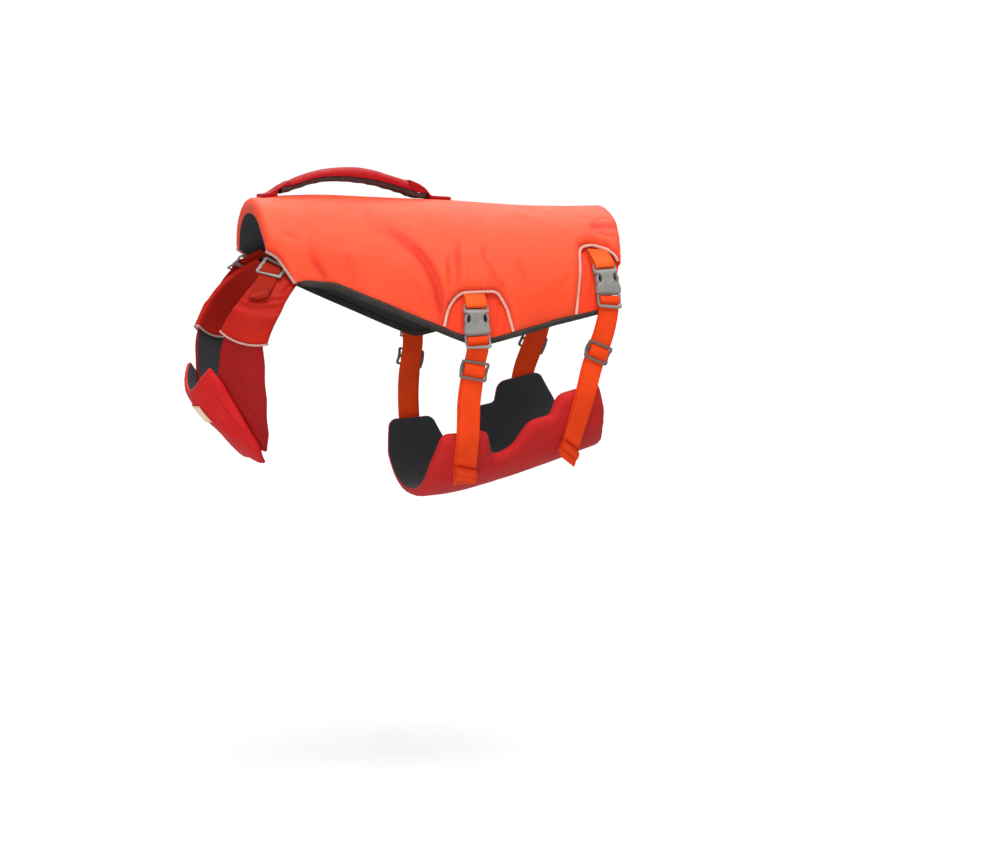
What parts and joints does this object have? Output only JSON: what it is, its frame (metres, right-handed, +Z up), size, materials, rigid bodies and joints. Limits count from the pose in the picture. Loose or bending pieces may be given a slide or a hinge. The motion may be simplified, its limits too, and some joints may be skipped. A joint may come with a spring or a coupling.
{
  "type": "dog life jacket",
  "caption": "Worn dog life jacket: padded back panel with grab handle, belly panel on buckled straps, and a chest panel on sleeved arms.",
  "frame": {"origin": "on the wearer's back, where the inner face of the back panel lies on it, in the middle plane", "axes": "-X towards the wearer's head, +Y to the wearer's right, +Z up"},
  "size_m": [0.4048, 0.2228, 0.3096],
  "materials": {
    "shell": "coated woven nylon, matt, orange-red",
    "insert": "coated woven nylon, matt, orange",
    "webbing": "woven orange webbing",
    "binding": "dark grey grosgrain",
    "piping": "pale reflective cord cover",
    "belly": "coated woven nylon, matt, dark red",
    "chest": "coated woven nylon, matt, red",
    "arm": "woven nylon, matt, dark red",
    "sleeve": "woven nylon, matt, orange-red",
    "grip": "stuffed woven nylon tube, red",
    "ribbed": "dark ribbed webbing",
    "hardware": "moulded acetal, grey",
    "label": "plain cream patch, bare"
  },
  "bodies": {
    "root": {"arch_insert_front_left": "insert", "arch_insert_front_right": "insert", "arch_insert_rear_left": "insert", "arch_insert_rear_right": "insert", "back_panel": "shell", "belly_panel": "belly", "binding_left": "binding", "binding_right": "binding", "buckle_plug_front_left": "hardware", "buckle_plug_front_right": "hardware", "buckle_plug_rear_left": "hardware", "buckle_plug_rear_right": "hardware", "buckle_socket_front_left": "hardware", "buckle_socket_front_right": "hardware", "buckle_socket_rear_left": "hardware", "buckle_socket_rear_right": "hardware", "chest_arm_left": "arm", "chest_arm_right": "arm", "chest_label": "label", "chest_panel": "chest", "handle_grip": "grip", "handle_tab_front": "grip", "handle_tab_rear": "grip", "handle_underside": "ribbed", "hem_piping_left": "piping", "hem_piping_right": "piping", "neck_sleeve_left": "sleeve", "neck_sleeve_right": "sleeve", "neck_slider_left": "hardware", "neck_slider_right": "hardware", "neck_webbing_left": "webbing", "neck_webbing_right": "webbing", "piping_front_left": "piping", "piping_front_right": "piping", "piping_neck_left": "piping", "piping_neck_right": "piping", "piping_rear_left": "piping", "piping_rear_right": "piping", "slider_front_left": "hardware", "slider_front_right": "hardware", "slider_rear_left": "hardware", "slider_rear_right": "hardware", "strap_front_left": "webbing", "strap_front_right": "webbing", "strap_loop_front_left": "webbing", "strap_loop_front_right": "webbing", "strap_loop_rear_left": "webbing", "strap_loop_rear_right": "webbing", "strap_rear_left": "webbing", "strap_rear_right": "webbing"}
  },
  "joints": []
}
